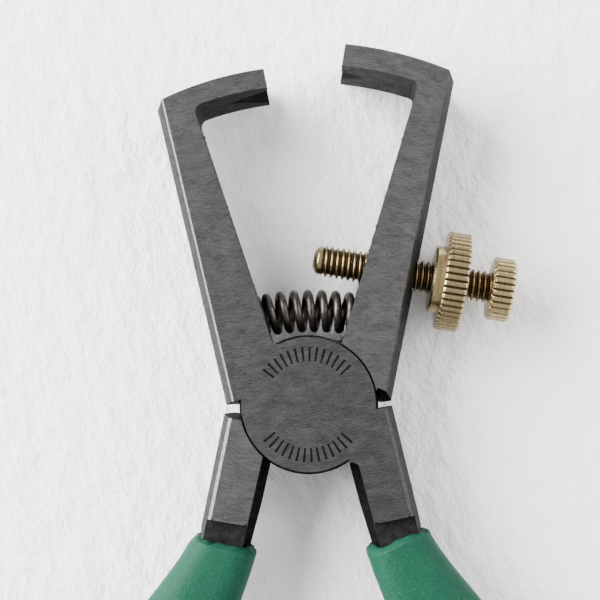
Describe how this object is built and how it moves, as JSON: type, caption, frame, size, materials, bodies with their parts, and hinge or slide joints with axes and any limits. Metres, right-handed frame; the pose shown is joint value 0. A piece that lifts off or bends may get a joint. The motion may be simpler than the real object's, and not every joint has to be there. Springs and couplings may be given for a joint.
{
  "type": "wire stripper",
  "caption": "Adjustable wire-stripping pliers: hooked V-notch jaws on a riveted lap joint, opening spring, brass stop screw with lock nut, and green dip-coated grips.",
  "frame": {"origin": "on the rivet's axis, at the flush rear face of the joint", "axes": "+Y from the rivet towards the jaws along the tool's middle line, +Z out of the front face, +X towards the stop screw"},
  "size_m": [0.0916, 0.1543, 0.0122],
  "materials": {
    "steel": "ground faces with fine grinding lines, forged black drafted sides",
    "rivet_steel": "ground flush",
    "spring_steel": "dark oiled wire",
    "brass": "machined",
    "green_coating": "matte dip coating"
  },
  "bodies": {
    "rear_lever": {"lever_rear": "steel", "pivot_rivet": "rivet_steel", "grip_left": "green_coating", "opening_spring": "spring_steel"},
    "front_lever": {"lever_front": "steel", "grip_right": "green_coating"},
    "stop_screw": {"adjusting_screw": "brass"},
    "screw_knob": {"screw_head": "brass"},
    "stop_nut": {"lock_nut": "brass"}
  },
  "joints": [
    {"name": "pivot", "type": "hinge", "parent": "rear_lever", "child": "front_lever", "pos_m": [0, 0, 0.005], "axis": [0, 0, 1], "range_deg": [-21.5, 2.4], "stiffness_Nm_per_rad": 1.1, "deforming": ["opening_spring"]},
    {"name": "screw_travel", "type": "slide", "parent": "rear_lever", "child": "stop_screw", "axis": [0.9839, -0.1788, 0], "range_m": [-0.00105, 0.0042]},
    {"name": "screw_turn", "type": "hinge", "parent": "stop_screw", "child": "screw_knob", "pos_m": [0.02378, 0.01367, 0.005], "axis": [0.9839, -0.1788, 0], "range_deg": [-540, 2160]},
    {"name": "nut_travel", "type": "slide", "parent": "rear_lever", "child": "stop_nut", "axis": [0.9839, -0.1788, 0], "range_m": [-0.0018, 0.0018]}
  ],
  "couplings": [
    {"joint": "screw_turn", "follows": "screw_travel", "rad_per_m": 8976}
  ]
}
